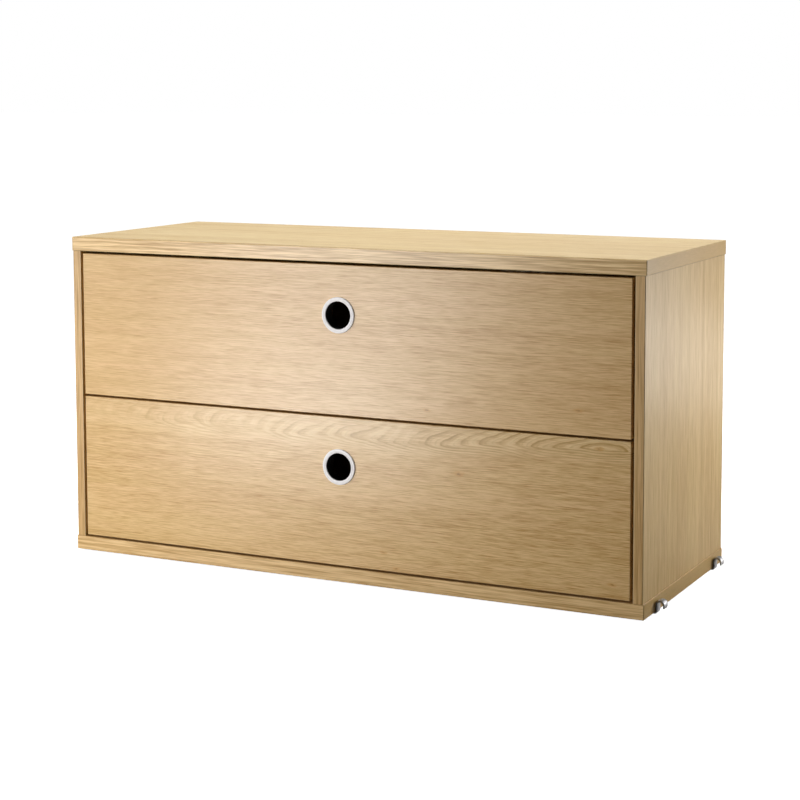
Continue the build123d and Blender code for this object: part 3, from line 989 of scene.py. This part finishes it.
def bentStrip(low, high, boardEnd):
    # tab under the board, bend, leg and arch with its slot, on the right side of the cabinet
    tabX = min(abs(low.x), abs(high.x)) / mm
    sheet, inside, slot, slotZ = hanger["sheet"], hanger["bend"], hanger["slot"], hanger["slot height"]
    slotX = boardEnd + sheet + slot
    bendRadii, archRadii = (inside, inside + sheet), (slot + sheet, slot)
    sections = [[(tabX, sheet), (tabX, 0)]]
    sections += bendSections(boardEnd - inside, sheet + inside, bendRadii, -90, 0, hanger["bend steps"])
    sections += bendSections(slotX, slotZ, archRadii, 180, 0, hanger["arch steps"])
    sections.append([(slotX + slot + sheet, hanger["tip"]), (slotX + slot, hanger["tip"])])
    shape = stripShape(sections, low.y / mm, high.y / mm)
    bmesh.ops.recalc_face_normals(shape, faces=shape.faces)
    sharp = [edge for edge in shape.edges if edge.calc_face_angle(0) > math.radians(hanger["sharp over"])]
    bmesh.ops.bevel(shape, geom=sharp, offset=hanger["edge"] * mm, affect="EDGES",
                    segments=hanger["edge steps"], profile=0.5, material=-1, clamp_overlap=True)
    return shape


def makeHanger(name, pieceName, side):
    # returns the middle of the screw hole; the left hangers mirror the right ones
    low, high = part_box(name)
    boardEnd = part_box("bottom_panel")[1].x / mm
    shape = bentStrip(low, high, boardEnd)
    holeCentre = Vector(((boardEnd - hanger["screw setback"]) * mm, (low.y + high.y) / 2, 0))
    sheet, sink, hole = hanger["sheet"], hanger["countersink"], hanger["hole"]
    profile = [(-1, 0), (-1, sink), (0, sink), (sink - hole, hole), (sheet + 1, hole), (sheet + 1, 0)]
    cutter = spunShape(profile, holeCentre, (0, 0, 1), hanger["hole steps"])
    bmesh.ops.recalc_face_normals(cutter, faces=cutter.faces)
    shape = cutAway(shape, cutter)
    bmesh.ops.scale(shape, vec=(sideSigns[side], 1, 1), verts=shape.verts)
    newPiece(pieceName, shape, "zinc_steel", "cabinet", (name,))
    return holeCentre


def makeHangerScrew(pieceName, holeCentre, side):
    sunk, head, core, length = (hangerScrew[key] for key in ("sunk", "head", "core", "length"))
    profile = [
        (sunk, 0), (sunk, head), (sunk + hangerScrew["head edge"], head), (hangerScrew["height"], core),
        (length, core), (length + hangerScrew["point"], 0),
    ]
    screw = spunShape(profile, holeCentre, (0, 0, 1), hangerScrew["steps"], {1: hangerScrew["easing"]})
    headFace = holeCentre + Vector((0, 0, sunk * mm))
    screw = cutAway(screw, crossCutter(headFace, (0, 0, 1), hangerScrew["reach"]))
    bmesh.ops.scale(screw, vec=(sideSigns[side], 1, 1), verts=screw.verts)
    newPiece(pieceName, screw, "zinc_steel", "cabinet")


for place in ("front", "rear"):
    for side in sideSigns:
        pieceName = f"{place}{side.title()}Hanger"
        holeCentre = makeHanger(f"{place}_{side}_hanger", pieceName, side)
        makeHangerScrew(pieceName + "Screw", holeCentre, side)
print("hangers made")


# Studio

bpy.context.scene.view_settings.view_transform = "Standard"

studio = {
    "place": (1.085399, -2.167259, 0.609425),
    "turn": (84.63342, 0.14697, 26.39494),
    "focal px": 1913.12,
    "picture px": 800,
    "centre row px": 262,
    "sensor": 36.0,
    "floor size": 60.0,
    "floor colour": (0.9, 0.9, 0.9),
    "floor mirrored": (0.22, 0.215, 0.21),
    "floor bounce": (0.14, 0.135, 0.13),
    "floor glow": (0.94, 0.94, 0.94),
    "floor noise": ((90, 90, 90), 3),
    "floor fibre": (0.3, 0.7, 0.94, 1.0),
    "floor roughness": 0.7,
    "bright side": (0.12, 0.985, 0.10),
    "sky": (0.35, 0.95, 0.01, 0.52),
}
pictureSize = studio["picture px"]
camera = bpy.data.cameras.new("camera")
camera.sensor_width = studio["sensor"]
camera.lens = studio["focal px"] / pictureSize * camera.sensor_width
camera.shift_y = (studio["centre row px"] - pictureSize / 2) / pictureSize
cameraObject = bpy.data.objects.new("camera", camera)
cameraObject.location = studio["place"]
cameraObject.rotation_euler = [math.radians(angle) for angle in studio["turn"]]
bpy.context.scene.collection.objects.link(cameraObject)
bpy.context.scene.camera = cameraObject

floorMesh = bmesh.new()
bmesh.ops.create_grid(floorMesh, x_segments=1, y_segments=1, size=studio["floor size"] / 2)
floorData = bpy.data.meshes.new("floor")
floorMesh.to_mesh(floorData)
floorMesh.free()
floor = bpy.data.objects.new("floor", floorData)
bpy.context.scene.collection.objects.link(floor)
floorPaint, floorTree, floorShader, floorCoords = startMaterial("palePaper")
rays = addNode(floorTree, "ShaderNodeLightPath").outputs
seen, scattered = rays["Is Camera Ray"], rays["Is Diffuse Ray"]
fibre = softStep(floorTree, noiseAt(floorTree, floorCoords, *studio["floor noise"]), *studio["floor fibre"])
# pale to look at, with a weaker mirror image and bounce
paper = mixColour(floorTree, seen, studio["floor mirrored"], studio["floor colour"])
paper = mixColour(floorTree, scattered, paper, studio["floor bounce"])
paper = mixColour(floorTree, 1.0, paper, fibre, blend="MULTIPLY")
wire(floorTree, paper, floorShader.inputs["Base Color"])
glowing = mixColour(floorTree, seen, (0, 0, 0), studio["floor glow"])
wire(floorTree, glowing, floorShader.inputs["Emission Color"])
floorShader.inputs["Emission Strength"].default_value = 1.0
floorShader.inputs["Roughness"].default_value = studio["floor roughness"]
floorData.materials.append(floorPaint)

# sky that is bright behind the cabinet and dim in front, and white to the camera
world = bpy.data.worlds.new("studio")
world.use_nodes = True
skyTree = world.node_tree
background = skyTree.nodes["Background"]
towards = addNode(skyTree, "ShaderNodeVectorMath", operation="DOT_PRODUCT")
wire(skyTree, addNode(skyTree, "ShaderNodeTexCoord").outputs["Generated"], towards.inputs[0])
towards.inputs[1].default_value = studio["bright side"]
skyGlow = softStep(skyTree, towards.outputs["Value"], *studio["sky"])
skySeen = addNode(skyTree, "ShaderNodeLightPath").outputs["Is Camera Ray"]
wire(skyTree, mathNode(skyTree, "MAXIMUM", skyGlow, skySeen), background.inputs["Strength"])
background.inputs["Color"].default_value = (1, 1, 1, 1)
bpy.context.scene.world = world

lights = {           # size in metres, power in watts, spread in degrees
    "keyLeft": {"at": (-1.6, -1.0, 0.25), "to": (-0.1, -0.15, 0.2), "size": (0.6, 0.8), "power": 15},
    "sheenHigh": {"at": (-0.68, -1.5, 0.30), "to": (-0.05, -0.15, 0.30), "size": (0.55, 0.2), "power": 4.2},
    "sheenLow": {"at": (-0.78, -1.5, 0.11), "to": (-0.08, -0.15, 0.25), "size": (0.5, 0.18), "power": 3.2},
    "sheenFloor": {"at": (-0.46, -0.9, 0.04), "to": (-0.10, -0.15, 0.15), "size": (0.4, 0.07), "power": 1.95},
    "above": {
        "at": (-0.1, 0.2, 2.4), "to": (-0.05, 0.1, 0.0), "size": (1.8, 1.4), "power": 78, "glossy": False,
    },
    "rearRight": {
        "at": (1.3, 0.9, 0.35), "to": (0.39, 0.11, 0.26), "size": (0.4, 0.3), "power": 1.32, "spread": 50,
    },
    "rearLow": {"at": (0.88, 1.15, 0.10), "to": (0.4, 0.0, 0.25), "size": (0.5, 0.18), "power": 0.42},
}
for lightName, look in lights.items():
    lamp = bpy.data.lights.new(lightName, "AREA")
    lamp.shape = "RECTANGLE"
    lamp.size, lamp.size_y = look["size"]
    lamp.energy = look["power"]
    lamp.spread = math.radians(look.get("spread", 180))
    lampObject = bpy.data.objects.new(lightName, lamp)
    lampObject.location = look["at"]
    aim = Vector(look["to"]) - Vector(look["at"])
    lampObject.rotation_euler = aim.to_track_quat("-Z", "Y").to_euler()
    lampObject.visible_camera = False
    lampObject.visible_glossy = look.get("glossy", True)       # the top doesn't mirror the light above it
    bpy.context.scene.collection.objects.link(lampObject)
print("studio ready")
